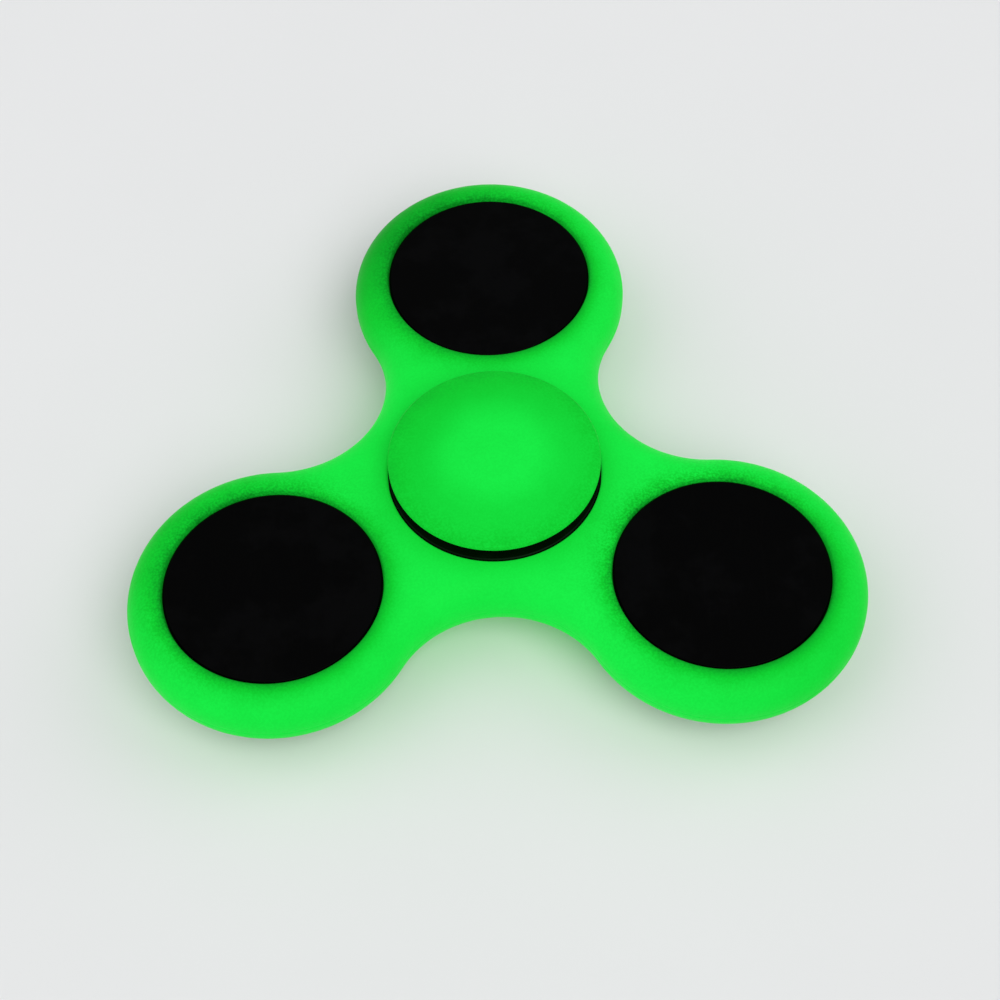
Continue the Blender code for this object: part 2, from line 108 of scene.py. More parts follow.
# Caps, covers and bearing
CAP_LAND_RADIUS = 3.50 * MM
CAP_CROWN = 0.90 * MM
CAP_EDGE = 1.00 * MM
CAP_ROUNDING = 0.32 * MM
CAP_SHOULDER_RUN = 0.40 * MM  # width of the ring outside the dome that the rim's rounding takes up
BORE_RADIUS = 4.00 * MM
SPIGOT_WALL = 1.60 * MM
SHOULDER_RADIUS = 5.20 * MM
COVER_FACE = 1.00 * MM
COVER_SKIRT = 1.00 * MM
COVER_DISH = 0.04 * MM  # how far the face dips to its middle
COVER_DISH_MARGIN = 1.10 * MM  # width of the level ring outside the dish
COVER_BEVEL = 0.22 * MM
COVER_ROUNDING = 0.07 * MM
PEG_RADIUS = 1.90 * MM
PEG_END = 1.00 * MM
PEG_END_GAP = 0.10 * MM
SOCKET_WALL = 0.85 * MM
SLUG_HOLE_RADIUS = 3.00 * MM
SLUG_BEVEL = 0.30 * MM
SLUG_ROUNDING = 0.05 * MM
GROOVE_RADIUS = 2.05 * MM
OUTER_LAND_RADIUS = 9.15 * MM
GROOVE_TOP_OUTER = 1.30 * MM  # about where each race's ball groove begins
GROOVE_TOP_INNER = 1.50 * MM
OUTER_RACE_ROUNDING = 0.25 * MM
INNER_RACE_ROUNDING = 0.28 * MM
SHIELD_SEAT_RADIUS = 9.50 * MM
SNAP_GROOVE_RADIUS = 9.80 * MM
SNAP_RING_WIDTH = 0.60 * MM
SNAP_RING_RADIUS = 9.72 * MM
SNAP_RING_ROUNDING = 0.06 * MM
SNAP_RING_OPENING = math.radians(16)
SHIELD_SHEET = 0.28 * MM
SHIELD_GAP = 0.20 * MM  # between a shield and the inner ring
SHIELD_RIM_WIDTH = 1.00 * MM
SHIELD_SLOPE = 0.35 * MM
SHIELD_ROUNDING = 0.10 * MM
CAGE_SHEET = 0.30 * MM
CAGE_WIDTH = 1.50 * MM
CAGE_BLEND = 0.10 * MM
CAGE_ROUNDING = 0.05 * MM
RIVET_RADIUS = 0.30 * MM
RIVET_HEAD_RADIUS = 0.50 * MM
RIVET_HEAD_HEIGHT = 0.20 * MM

# Painted light on the plastic. Each beam of painted light lies at an angle from +X, and the sides facing
# its own lamp direction are painted lighter.
FRAME_PAINTED_BEAM = {"angle": math.radians(54), "middle": -11.4 * MM, "width": 41 * MM, "power": 6,
              "lamp": math.radians(160), "turn": 0.10}
CAP_PAINTED_BEAM = {"angle": math.radians(43), "middle": -10 * MM, "width": 54 * MM, "power": 2,
            "lamp": math.radians(-127), "turn": 0.08}
# Overall levels of the painted glow on the frame and on the caps
FRAME_LEVEL = 0.885
CAP_LEVEL = 0.88
# Painted shade taken out of the painted glow beside each cover and round the hub's bore
COVER_PAINTED_SHADE = 0.63  # share of the light missing beside a cover
COVER_PAINTED_SHADE_TURN = 0.27
COVER_LIP_REACH = 1.05 * MM
SHADE_DIRECTION = (-0.8, 0.6)  # the side of each lobe where the glow is most uneven
SHADE_MOTTLE = 0.7
HUB_PAINTED_SHADE = 0.22
HUB_PAINTED_SHADE_REACH = 1.8 * MM
# Painted shade on a cap, fading its painted glow from the boss out to the rim
BOSS_FROM, BOSS_TO = 3.1 * MM, 8.4 * MM  # where a cap's glow starts to fade, and where it is low
CAP_PAINTED_SHADE = 0.19
CAP_RIM_PAINTED_SHADE = 0.09
CAP_RIM_MOTTLE = 0.3

# How finely the surfaces are drawn
ROUND_STEPS = 192
LOBE_STEPS = 144
HOLLOW_STEPS = 16
WAIST_STEPS = 24
FILLET_STEPS = 6
CAGE_STEPS = 64  # for one ball's share of the ribbon
MERGE_DISTANCE = 0.0004 * MM


# Surfaces


def cell_corners(rows, columns, wrap_rows, wrap_columns):
    """Corner numbers of every cell between neighbouring rows and columns of a grid of points."""
    row = np.arange(rows if wrap_rows else rows - 1)
    column = np.arange(columns if wrap_columns else columns - 1)
    row, column = np.meshgrid(row, column, indexing="ij")
    next_row, next_column = (row + 1) % rows, (column + 1) % columns
    corners = [(row, column), (row, next_column), (next_row, next_column), (next_row, column)]
    return np.stack([r * columns + c for r, c in corners], axis=-1).reshape(-1, 4)


def joined_surface(name, patches, crease_degrees=32):
    """One closed mesh from grids of points, each given with whether its rows and columns wrap round.

    Points that meet are merged, so patches join along shared borders and poles close up.
    """
    points, faces, used = [], [], 0
    for grid, wrap_rows, wrap_columns in patches:
        rows, columns = grid.shape[:2]
        points.append(grid.reshape(-1, 3))
        faces.append(cell_corners(rows, columns, wrap_rows, wrap_columns) + used)
        used += rows * columns
    mesh = bpy.data.meshes.new(name)
    mesh.from_pydata(np.concatenate(points), [], np.concatenate(faces))
    bm = bmesh.new()
    bm.from_mesh(mesh)
    bmesh.ops.remove_doubles(bm, verts=bm.verts, dist=MERGE_DISTANCE)
    bmesh.ops.recalc_face_normals(bm, faces=bm.faces)
    bm.to_mesh(mesh)
    bm.free()
    mesh.shade_smooth()
    mesh.set_sharp_from_angle(angle=math.radians(crease_degrees))
    return mesh


def point_places(mesh):
    """The mesh's points as an array of three columns."""
    flat = np.zeros(len(mesh.vertices) * 3)
    mesh.vertices.foreach_get("co", flat)
    return flat.reshape(-1, 3)


def point_normals(mesh):
    """The mesh's point normals as an array of three columns."""
    flat = np.zeros(len(mesh.vertices) * 3)
    mesh.vertices.foreach_get("normal", flat)
    return flat.reshape(-1, 3)


def write_attribute(mesh, name, values):
    """Stores one number a point, for a material to read."""
    layer = mesh.attributes.new(name, "FLOAT", "POINT")
    layer.data.foreach_set("value", np.ascontiguousarray(values, dtype=np.float32))


def write_axis_places(mesh, centre=(0, 0)):
    """Each point's distance from an upright axis, hypot(x - cx, y - cy), and its height, in millimetres."""
    places = point_places(mesh) - (*centre, MID)
    write_attribute(mesh, "axis_distance", np.hypot(places[:, 0], places[:, 1]) / MM)
    write_attribute(mesh, "height", places[:, 2] / MM)


def write_painted_lighting(mesh, beam):
    """Painted light on each point, from a lamp whose beam of painted light lay across the spinner.

    It is exp(-abs(v / width) ** power), where v is the distance from the beam's middle line, times
    1 + turn times the cosine between the point's normal and the lamp's level direction.
    """
    across = np.array((-math.sin(beam["angle"]), math.cos(beam["angle"])))
    offset = (point_places(mesh)[:, :2] @ across - beam["middle"]) / beam["width"]
    facing = point_normals(mesh)[:, :2] @ (math.cos(beam["lamp"]), math.sin(beam["lamp"]))
    # Painted light: brighter along the beam's middle and on sides facing the lamp direction
    painted_lighting = np.exp(-np.abs(offset) ** beam["power"]) * (1 + beam["turn"] * facing)
    write_attribute(mesh, "painted_lighting", painted_lighting)


def finished_piece(mesh, material, body, node):
    """The piece's object, named as its mesh. It stands in for its working part and moves with its body."""
    mesh.materials.append(material)
    piece = bpy.data.objects.new(mesh.name, mesh)
    bpy.context.scene.collection.objects.link(piece)
    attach(piece, body)
    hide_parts(node)


def filleted(before, corner, after, radius):
    """The arc that rounds one corner: it leaves and meets the two sides square to the arc's own radii.

    The radius is cut back where a side is too short to hold it.
    """
    back, ahead = before - corner, after - corner
    back_length, ahead_length = np.linalg.norm(back), np.linalg.norm(ahead)
    back, ahead = back / back_length, ahead / ahead_length
    half = math.acos(np.clip(back @ ahead, -1, 1)) / 2
    if radius == 0 or half > math.radians(88):
        return corner[None]
    reach = min(radius / math.tan(half), 0.45 * min(back_length, ahead_length))
    between = (back + ahead) / np.linalg.norm(back + ahead)
    centre = corner + between * reach / math.cos(half)
    start, end = corner + back * reach - centre, corner + ahead * reach - centre
    sweep = math.pi - 2 * half
    share = np.linspace(0, 1, FILLET_STEPS + 1)[:, None]
    turned = np.sin((1 - share) * sweep) * start + np.sin(share * sweep) * end
    return centre + turned / math.sin(sweep)


def softened(corners, radius, closed=True):
    """A profile with every corner rounded. An open profile keeps its two ends on the axis."""
    corners = np.array(corners, float)
    ahead, before = np.roll(corners, -1, axis=0), np.roll(corners, 1, axis=0)
    arcs = [filleted(b, c, a, radius) for b, c, a in zip(before, corners, ahead)]
    if not closed:
        arcs[0], arcs[-1] = corners[:1], corners[-1:]
    return np.concatenate(arcs)


def mirrored(upper):
    """A profile above the mid-plane joined to its mirror image below."""
    upper = np.array(upper, float)
    return np.concatenate([upper, (upper * (1, -1))[::-1]])


def turned_grid(profile, centre=(0, 0), opening=0.0):
    """A profile turned about an upright axis: x and y are the radius times cosine and sine of the angle.

    The turn is a whole one, less any opening at its end.
    """
    angle = np.linspace(0, 2 * math.pi - opening, ROUND_STEPS, endpoint=opening > 0)
    radius, height = profile[:, 0][:, None], profile[:, 1][:, None]
    return np.stack([centre[0] + radius * np.cos(angle), centre[1] + radius * np.sin(angle),
                     MID + height + 0 * angle], axis=-1)


def turned_mesh(name, profile, centre=(0, 0), closed=True):
    """A turned piece. A closed profile is a ring's section, and an open one starts and ends on the axis."""
    mesh = joined_surface(name, [(turned_grid(profile, centre), closed, True)])
    write_axis_places(mesh, centre)
    return mesh


def flipped(profile):
    """The same profile below the mid-plane."""
    return profile * (1, -1)


# The moulded frame


def hollow_radius():
    """Radius of the hollow between two lobes: the arc touches both lobe circles and the hub circle."""
    lean = math.cos(math.pi / LOBE_COUNT)
    rise = ARM_REACH**2 - 2 * ARM_REACH * HUB_RADIUS * lean + HUB_RADIUS**2 - LOBE_RADIUS**2
    return rise / (2 * (LOBE_RADIUS - HUB_RADIUS + ARM_REACH * lean))


def arc_of_outline(centre, radius, side, start, end, steps):
    """Samples of one arc: its centre, radius, side (1 bulges outward, -1 is a hollow) and directions."""
    angle = np.linspace(start, end, steps + 1)
    return np.array(centre), radius, side, np.stack([np.cos(angle), np.sin(angle)], axis=-1)


def outline_arcs():
    """The outline, lobe by lobe: the lobe's arc, then the hollow in three stretches split at the waists."""
    hollow = hollow_radius()
    reach = HUB_RADIUS + hollow
    half_pitch = math.pi / LOBE_COUNT
    bay = np.array([math.cos(half_pitch), math.sin(half_pitch)]) * reach
    turn = math.atan2(bay[1], bay[0] - ARM_REACH)
    sweep, waist = turn - half_pitch, math.pi / 2 - half_pitch
    arcs = []
    for axis in LOBE_AXES:
        facing = math.atan2(axis.y, axis.x)
        centre = reach * np.array([math.cos(facing + half_pitch), math.sin(facing + half_pitch)])
        inward = facing + half_pitch + math.pi
        stretches = [(sweep, waist), (waist, -waist), (-waist, -sweep)]
        hollows = [arc_of_outline(centre, hollow, -1, inward + a, inward + b, n)
                   for (a, b), n in zip(stretches, (HOLLOW_STEPS, 2 * HOLLOW_STEPS, HOLLOW_STEPS))]
        lobe = arc_of_outline(tuple(axis), LOBE_RADIUS, 1, facing - turn, facing + turn, LOBE_STEPS)
        arcs.append([lobe] + hollows)
    return arcs


def inset_points(arc, depth):
    """Points of an arc of the outline moved straight into the material by each depth."""
    centre, radius, side, direction = arc
    depth = np.atleast_1d(depth)[:, None, None]
    return centre + (radius - side * depth) * direction


def side_profile():
    """Depth and height round the frame's side: a quarter round, a short upright with the mould's parting
    groove at the middle, and a quarter round again."""
    angle = np.linspace(math.pi / 2, 0, 25)
    upright = HALF_FRAME - EDGE_RADIUS
    rounding = np.stack([EDGE_RADIUS * (1 - np.cos(angle)), upright + EDGE_RADIUS * np.sin(angle)], axis=-1)
    groove = np.array([(0, 1), (0.4, 0.6), (1, 0.2)]) * (PARTING_DEPTH, PARTING_WIDTH)
    return mirrored(np.concatenate([rounding, groove]))


def cell_grid(border, centre, bore):
    """One bore and the flat round it, as rulings: share * border + (1 - share) * lip across the flat, then
    a quarter circle into the bore's mouth, the wall, and the same again below."""
    offset = border - centre
    direction = offset / np.linalg.norm(offset, axis=1)[:, None]
    lip = centre + (bore + BORE_MOUTH) * direction
    share = np.array([1, 0.96, 0.8, 0.6, 0.4, 0.2, 0.04, 0])[:, None, None]  # closer where it meets a curve
    flat = share * border + (1 - share) * lip
    angle = np.linspace(0, math.pi / 2, 8)[1:]
    radius = bore + BORE_MOUTH * (1 - np.sin(angle))
    drop = BORE_MOUTH * (1 - np.cos(angle))
    mouth = centre + radius[:, None, None] * direction
    level = np.concatenate([np.full(len(share), HALF_FRAME), HALF_FRAME - drop])
    upper = np.concatenate([flat, mouth])
    upper = np.concatenate([upper, np.broadcast_to(level[:, None, None], upper.shape[:2] + (1,))], axis=-1)
    lower = (upper * (1, 1, -1))[::-1]
    return np.concatenate([upper, lower]) + (0, 0, MID)


def frame_patches():
    """The frame's side, arc by arc, and a cell for the hub and for each lobe."""
    arcs = outline_arcs()
    depth, height = side_profile().T
    patches = []
    for arc in sum(arcs, []):
        flat = inset_points(arc, depth)
        upright = np.broadcast_to(height[:, None, None] + MID, flat.shape[:2] + (1,))
        patches.append((np.concatenate([flat, upright], axis=-1), False, False))
    edge = [[inset_points(arc, EDGE_RADIUS)[0] for arc in stretch] for stretch in arcs]
    hub_border = []
    for k in range(LOBE_COUNT):
        lobe, to_waist, hub_side, _ = edge[k]
        from_waist = edge[k - 1][3]
        share = np.linspace(0, 1, WAIST_STEPS + 1)[1:-1, None]
        waist_line = (1 - share) * from_waist[0] + share * to_waist[-1]
        border = np.concatenate([from_waist, lobe[1:], to_waist[1:], waist_line[::-1]])
        patches.append((cell_grid(border, np.array(LOBE_AXES[k]), LOBE_BORE_RADIUS), False, True))
        hub_border += [waist_line, hub_side]
    patches.append((cell_grid(np.concatenate(hub_border), np.zeros(2), HUB_BORE_RADIUS), False, True))
    return patches


def frame_mesh(name):
    """The frame, with its painted glow level, painted shade beside the covers and round the hub, and how
    uneven its light is beside a cover.

    With lip = exp(-gap / REACH) for the gap to the nearest cover's edge, and A the angle around that cover
    from +X, fullness is LEVEL * (1 - SHADE * (1 - TURN * sin A) * lip): painted shade beside each cover,
    painted lighter on the cover's far side. It is then lowered by painted shade round the hub's bore,
    HUB_PAINTED_SHADE * exp(-gap / HUB_PAINTED_SHADE_REACH). The light is uneven by
    lip * (1 + SHADE_MOTTLE * cosine), with the cosine between the point's side and the shaded side.
    """
    mesh = joined_surface(name, frame_patches(), crease_degrees=60)
    places = point_places(mesh)[:, :2]
    offsets = places[:, None] - np.array([tuple(axis) for axis in LOBE_AXES])
    distances = np.linalg.norm(offsets, axis=-1)
    nearest = np.arange(len(places)), distances.argmin(axis=1)
    offset, distance = offsets[nearest], distances[nearest]
    lip = np.exp(-np.abs(distance - COVER_RADIUS) / COVER_LIP_REACH)
    towards_far = offset[:, 1] / distance
    towards_shade = offset @ SHADE_DIRECTION / distance
    hub_gap = np.abs(np.hypot(places[:, 0], places[:, 1]) - HUB_BORE_RADIUS)
    # Painted shade beside each cover, then round the hub's bore
    fullness = FRAME_LEVEL * (1 - COVER_PAINTED_SHADE * (1 - COVER_PAINTED_SHADE_TURN * towards_far) * lip)
    fullness *= 1 - HUB_PAINTED_SHADE * np.exp(-hub_gap / HUB_PAINTED_SHADE_REACH)
    write_attribute(mesh, "fullness", fullness)
    write_attribute(mesh, "lip", lip * (1 + SHADE_MOTTLE * towards_shade))
    write_painted_lighting(mesh, FRAME_PAINTED_BEAM)
    return mesh


# Turned pieces


def cap_profile():
    """Finger cap: flat crown, dome, upright edge, shoulder on the inner ring and hollow spigot.

    The dome is an arc of radius (run**2 + crown**2) / (2 * crown), level where it leaves the flat.
    """
    rim = CAP_TOP - CAP_CROWN
    underside = rim - CAP_EDGE
    run = CAP_RADIUS - CAP_SHOULDER_RUN - CAP_LAND_RADIUS
    dome_radius = (run**2 + CAP_CROWN**2) / (2 * CAP_CROWN)
    angle = np.linspace(0, math.asin(run / dome_radius), 24)
    dome = np.stack([CAP_LAND_RADIUS + dome_radius * np.sin(angle),
                     CAP_TOP - dome_radius * (1 - np.cos(angle))], axis=-1)
    spigot = BORE_RADIUS - SEAT_GAP
    below = softened([
        (CAP_RADIUS - CAP_SHOULDER_RUN, rim),
        (CAP_RADIUS, rim - CAP_SHOULDER_RUN * math.tan(angle[-1])),
        (CAP_RADIUS, underside),
        (SHOULDER_RADIUS, underside),
        (SHOULDER_RADIUS, BEARING_TOP + SEAT_GAP),
        (spigot, BEARING_TOP + SEAT_GAP),
        (spigot, SPIGOT_END),
        (spigot - SPIGOT_WALL, SPIGOT_END),
        (spigot - SPIGOT_WALL, underside),
        (0, underside),
    ], CAP_ROUNDING, closed=False)[1:]
    inner_land = np.linspace(0, CAP_LAND_RADIUS, 6)[:-1, None] * (1, 0) + (0, CAP_TOP)
    return np.concatenate([inner_land, dome, below])


def cap_mesh(name, profile):
    """A cap, its painted glow brightest over its thick boss, with painted shade fading it smoothly to its
    rim.

    Painted shading is LEVEL * (1 - SHADE * s**2 * (3 - 2 * s) - RIM_SHADE * rim), where s runs from 0 to 1
    across the boss's shoulder and rim from 0 to 1 outside it.
    """
    mesh = turned_mesh(name, profile, closed=False)
    places = point_places(mesh)
    distance = np.hypot(places[:, 0], places[:, 1])
    share = np.clip((distance - BOSS_FROM) / (BOSS_TO - BOSS_FROM), 0, 1)
    fade = share**2 * (3 - 2 * share)
    rim = np.clip((distance - BOSS_TO) / (CAP_RADIUS - BOSS_TO), 0, 1)
    # Painted shade on the cap towards its rim
    write_attribute(mesh, "fullness", CAP_LEVEL * (1 - CAP_PAINTED_SHADE * fade - CAP_RIM_PAINTED_SHADE * rim))
    write_attribute(mesh, "lip", CAP_RIM_MOTTLE * rim)
    write_painted_lighting(mesh, CAP_PAINTED_BEAM)
    return mesh


def cover_profile(peg):
    """Lobe cover: a dished face, a bevel, a skirt on the slug, and a peg or a socket in the middle.

    The face dips by DISH * (1 - share**2)**2, for the share of the way out to its level ring.
    """
    foot = SLUG_TOP + SEAT_GAP
    inside = COVER_TOP - COVER_FACE
    if peg:
        stem = [(PEG_RADIUS, inside), (PEG_RADIUS, -PEG_END), (0, -PEG_END)]
    else:
        socket = PEG_RADIUS + SEAT_GAP
        outer = socket + SOCKET_WALL
        floor = PEG_END + PEG_END_GAP
        stem = [(outer, inside), (outer, -PEG_END), (socket, -PEG_END), (socket, floor), (0, floor)]
    rim = COVER_RADIUS - COVER_DISH_MARGIN
    share = np.linspace(0, 1, 12)
    face = np.stack([share * rim, COVER_TOP - COVER_DISH * (1 - share**2) ** 2], axis=-1)
    edge = softened([
        (rim, COVER_TOP),
        (COVER_RADIUS - COVER_BEVEL, COVER_TOP),
        (COVER_RADIUS, COVER_TOP - COVER_BEVEL),
        (COVER_RADIUS, foot),
        (COVER_RADIUS - COVER_SKIRT, foot),
        (COVER_RADIUS - COVER_SKIRT, inside),
    ] + stem, COVER_ROUNDING, closed=False)
    return np.concatenate([face[:-1], edge])


def slug_profile():
    """Steel slug with bevelled edges and a centre hole."""
    return softened(mirrored([
        (SLUG_HOLE_RADIUS, SLUG_TOP),
        (SLUG_RADIUS - SLUG_BEVEL, SLUG_TOP),
        (SLUG_RADIUS, SLUG_TOP - SLUG_BEVEL),
    ]), SLUG_ROUNDING)


def groove_arc(land_radius, outward):
    """The upper half of a ball groove, from the land's edge down to the groove's deepest line: an arc of
    GROOVE_RADIUS about the pitch circle."""
    edge = math.acos(abs(land_radius - PITCH_RADIUS) / GROOVE_RADIUS)
    angle = np.linspace(edge, 0, 10)
    side = 1 if outward else -1
    arc = GROOVE_RADIUS * np.stack([side * np.cos(angle), np.sin(angle)], axis=-1)
    return arc + (PITCH_RADIUS, 0)


def outer_race_profile():
    """Outer ring: rounded outside corners, shield seats, snap ring grooves and the ball groove."""
    seat = SHIELD_BASE - SEAT_GAP
    slot_low, slot_high = SNAP_RING_BASE - SEAT_GAP, SNAP_RING_TOP + SEAT_GAP
    corners = softened([
        (BEARING_RADIUS, 0),
        (BEARING_RADIUS, BEARING_TOP),
        (SHIELD_SEAT_RADIUS, BEARING_TOP),
        (SHIELD_SEAT_RADIUS, slot_high),
        (SNAP_GROOVE_RADIUS, slot_high),
        (SNAP_GROOVE_RADIUS, slot_low),
        (SHIELD_SEAT_RADIUS, slot_low),
        (SHIELD_SEAT_RADIUS, seat),
        (OUTER_LAND_RADIUS, seat),
        (OUTER_LAND_RADIUS, GROOVE_TOP_OUTER),
    ], OUTER_RACE_ROUNDING, closed=False)
    upper = np.concatenate([corners[:-1], groove_arc(OUTER_LAND_RADIUS, True)])
    return mirrored(upper[1:-1])


def inner_race_profile():
    """Inner ring: ball groove outside, plain bore inside, rounded corners."""
    corners = softened([
        (BORE_RADIUS, 0),
        (BORE_RADIUS, BEARING_TOP),
        (INNER_RACE_RADIUS, BEARING_TOP),
        (INNER_RACE_RADIUS, GROOVE_TOP_INNER),
    ], INNER_RACE_ROUNDING, closed=False)
    upper = np.concatenate([corners[:-1], groove_arc(INNER_RACE_RADIUS, False)])
    return mirrored(upper[1:-1])


def shield_profile():
    """Pressed washer: a rim under the snap ring, a slope, and a raised middle clear of the inner ring."""
    inner = INNER_RACE_RADIUS + SHIELD_GAP
    high = SHIELD_TOP - SHIELD_SHEET
    rim = SHIELD_RADIUS - SHIELD_RIM_WIDTH
    under = [(inner, high), (rim - SHIELD_SLOPE, high), (rim, SHIELD_BASE), (SHIELD_RADIUS, SHIELD_BASE)]
    over = [(r, z + SHIELD_SHEET) for r, z in reversed(under)]
    return softened(under + over, SHIELD_ROUNDING)


def snap_ring_mesh(name, side):
    """Split ring of flat wire: its section carried round all but the opening, with both ends closed."""
    low, high = side * SNAP_RING_BASE, side * SNAP_RING_TOP
    inner, outer = SNAP_RING_RADIUS - SNAP_RING_WIDTH, SNAP_RING_RADIUS
    section = softened([(inner, low), (outer, low), (outer, high), (inner, high)], SNAP_RING_ROUNDING)
    ring = turned_grid(section, opening=SNAP_RING_OPENING)
    patches = [(ring, True, False)]
    for end in (ring[:, 0], ring[:, -1]):
        centre = np.broadcast_to(end.mean(axis=0), end.shape)
        patches.append((np.stack([end, centre]), False, True))
    mesh = joined_surface(name, patches)
    write_axis_places(mesh)
    return mesh


# Balls and their cage


def ball_mesh(name, centre):
    """Sphere: height is the radius times the sine of the latitude, ring radius its cosine."""
    latitude = np.linspace(-math.pi / 2, math.pi / 2, 33)
    profile = BALL_RADIUS * np.stack([np.cos(latitude), np.sin(latitude)], axis=-1)
    return turned_mesh(name, profile, centre, closed=False)


def cage_mesh(name, side):
    """Wavy ribbon: a softened rectangle carried along a middle line round the pitch circle.

    The line's height is flat + (d + hypot(d, BLEND)) / 2, with d = sqrt(crown**2 - along**2) - flat: level
    between the balls, and a half circle over each.
    """
    stations = BALL_COUNT * CAGE_STEPS
    around = np.linspace(0, 2 * math.pi, stations, endpoint=False)
    pitch = 2 * math.pi / BALL_COUNT
    along = (((around / pitch + 0.5) % 1) - 0.5) * pitch * PITCH_RADIUS
    crown = CAGE_TOP - CAGE_SHEET / 2
    flat = CAGE_SHEET / 2 + SEAT_GAP / 2
    rise = np.sqrt(np.clip(crown**2 - along**2, 0, None)) - flat
    line = flat + (rise + np.hypot(rise, CAGE_BLEND)) / 2
    step = 2 * math.pi / stations * PITCH_RADIUS
    slope = np.arctan((np.roll(line, -1) - np.roll(line, 1)) / (2 * step))
    half_sheet, half_width = CAGE_SHEET / 2, CAGE_WIDTH / 2
    section = softened([(-half_width, -half_sheet), (half_width, -half_sheet),
                        (half_width, half_sheet), (-half_width, half_sheet)], CAGE_ROUNDING)
    across, through = section[:, 0][:, None], section[:, 1][:, None]
    radius = PITCH_RADIUS + across
    angle = around - through * np.sin(slope) / PITCH_RADIUS
    height = line + through * np.cos(slope)
    grid = np.stack([radius * np.cos(angle), radius * np.sin(angle), MID + side * height], axis=-1)
    mesh = joined_surface(name, [(grid, True, True)], crease_degrees=50)
    write_axis_places(mesh)
    return mesh


def rivet_profile():
    """Shank with a domed head at each end."""
    head = RIVET_TOP - RIVET_HEAD_HEIGHT
    angle = np.linspace(0, math.pi / 2, 9)
    dome = np.stack([RIVET_HEAD_RADIUS * np.sin(angle), head + RIVET_HEAD_HEIGHT * np.cos(angle)], axis=-1)
    return mirrored(np.concatenate([dome, [(RIVET_RADIUS, head)]]))


# Materials

# Colours of the painted glow, and of the plastic's base colour painted darker with it as painted shade,
# from no painted light up to TOP_LEVEL of it
TOP_LEVEL = 1.25
PAINTED_GLOW_STRENGTH = 1.00
PAINTED_GLOW_STOPS = [(0.0, (0.0, 0.0, 0.0)), (0.5, (0.004, 0.30, 0.016)), (1.0, (0.013, 0.60, 0.062))]
PIGMENT_WITH_PAINTED_SHADE_STOPS = [(0.0, (0.0005, 0.03, 0.002)), (0.5, (0.001, 0.29, 0.013)), (1.0, (0.003, 0.58, 0.046))]
GLOW_MOTTLE = 0.05
LIP_MOTTLE = 8.0  # how many times more uneven a thin lip can be
CLOUD_SHARE, SPECK_SHARE = 2.0, 0.42
GRAIN_COARSE, GRAIN_FINE = 0.65, 0.35
GRAIN_DEPTH = 0.010 * MM
COVER_GRAIN_DEPTH = 0.006 * MM
GLOW_ROUGHNESS = (0.42, 0.52)  # of clean and of smudged plastic
COVER_ROUGHNESS = (0.36, 0.46)
BEVEL_ROUGHNESS = 0.16
BEVEL_START = COVER_RADIUS / MM - 0.30  # where a cover's satin face gives way to its smooth bevel
BEVEL_END = COVER_RADIUS / MM - 0.20
SMEAR_ROUGHNESS = 0.10  # added to steel where it is oily
RING_ROUGHNESS = 0.07


def new_group(name, inputs, outputs):
    """A shader node group with named sockets. Each is given as (name, kind, default)."""
    tree = bpy.data.node_groups.new(name, "ShaderNodeTree")
    for label, kind, default in inputs:
        socket = tree.interface.new_socket(label, in_out="INPUT", socket_type=kind)
        if default is not None:
            socket.default_value = default
    for label, kind in outputs:
        tree.interface.new_socket(label, in_out="OUTPUT", socket_type=kind)
    return tree, tree.nodes.new("NodeGroupInput").outputs, tree.nodes.new("NodeGroupOutput").inputs


def add(tree, kind, settings=None, **inputs):
    """Adds a node. An input is a number or colour, or another node's output, which is linked."""
    node = tree.nodes.new("ShaderNode" + kind)
    for key, value in (settings or {}).items():
        setattr(node, key, value)
    for key, value in inputs.items():
        socket = node.inputs[int(key[1:])] if key[0] == "_" else node.inputs[key.replace("_", " ")]
        if isinstance(value, bpy.types.NodeSocket):
            tree.links.new(value, socket)
        else:
            socket.default_value = value
    return node


def sum_of(tree, a, b):
    """a + b, each a number or another node's output."""
    return add(tree, "Math", {"operation": "ADD"}, _0=a, _1=b).outputs[0]


def product(tree, a, b):
    """a * b, each a number or another node's output."""
    return add(tree, "Math", {"operation": "MULTIPLY"}, _0=a, _1=b).outputs[0]


def spread(tree, value, low, high, to_low, to_high, smooth=True):
    """Maps low..high onto to_low..to_high, held at the ends."""
    kind = "SMOOTHSTEP" if smooth else "LINEAR"
    node = add(tree, "MapRange", {"interpolation_type": kind}, Value=value)
    for label, number in zip(("From Min", "From Max", "To Min", "To Max"), (low, high, to_low, to_high)):
        node.inputs[label].default_value = number
    return node.outputs["Result"]


def noise(tree, place, scale, detail=3.0, roughness=0.55):
    """Smooth noise about 0.5. Scale is in features a metre."""
    node = add(tree, "TexNoise", Vector=place, Scale=scale, Detail=detail, Roughness=roughness)
    return node.outputs["Fac"]


def mould_grain_group():
    """Fine grain that a spark-cut mould leaves: a height that sums a coarse noise and a fine one."""
    tree, given, result = new_group(
        "mould grain",
        [("Place", "NodeSocketVector", None), ("Grain Size", "NodeSocketFloat", 0.12)],
        [("Height", "NodeSocketFloat")],
    )
    scale = add(tree, "Math", {"operation": "DIVIDE"}, _0=1.0, _1=given["Grain Size"]).outputs[0]
    scale = product(tree, scale, 1 / MM)
    coarse = noise(tree, given["Place"], scale, 2.0)
    fine = noise(tree, given["Place"], product(tree, scale, 3.1), 2.0)
    height = sum_of(tree, product(tree, coarse, GRAIN_COARSE), product(tree, fine, GRAIN_FINE))
    tree.links.new(height, result["Height"])
    return tree


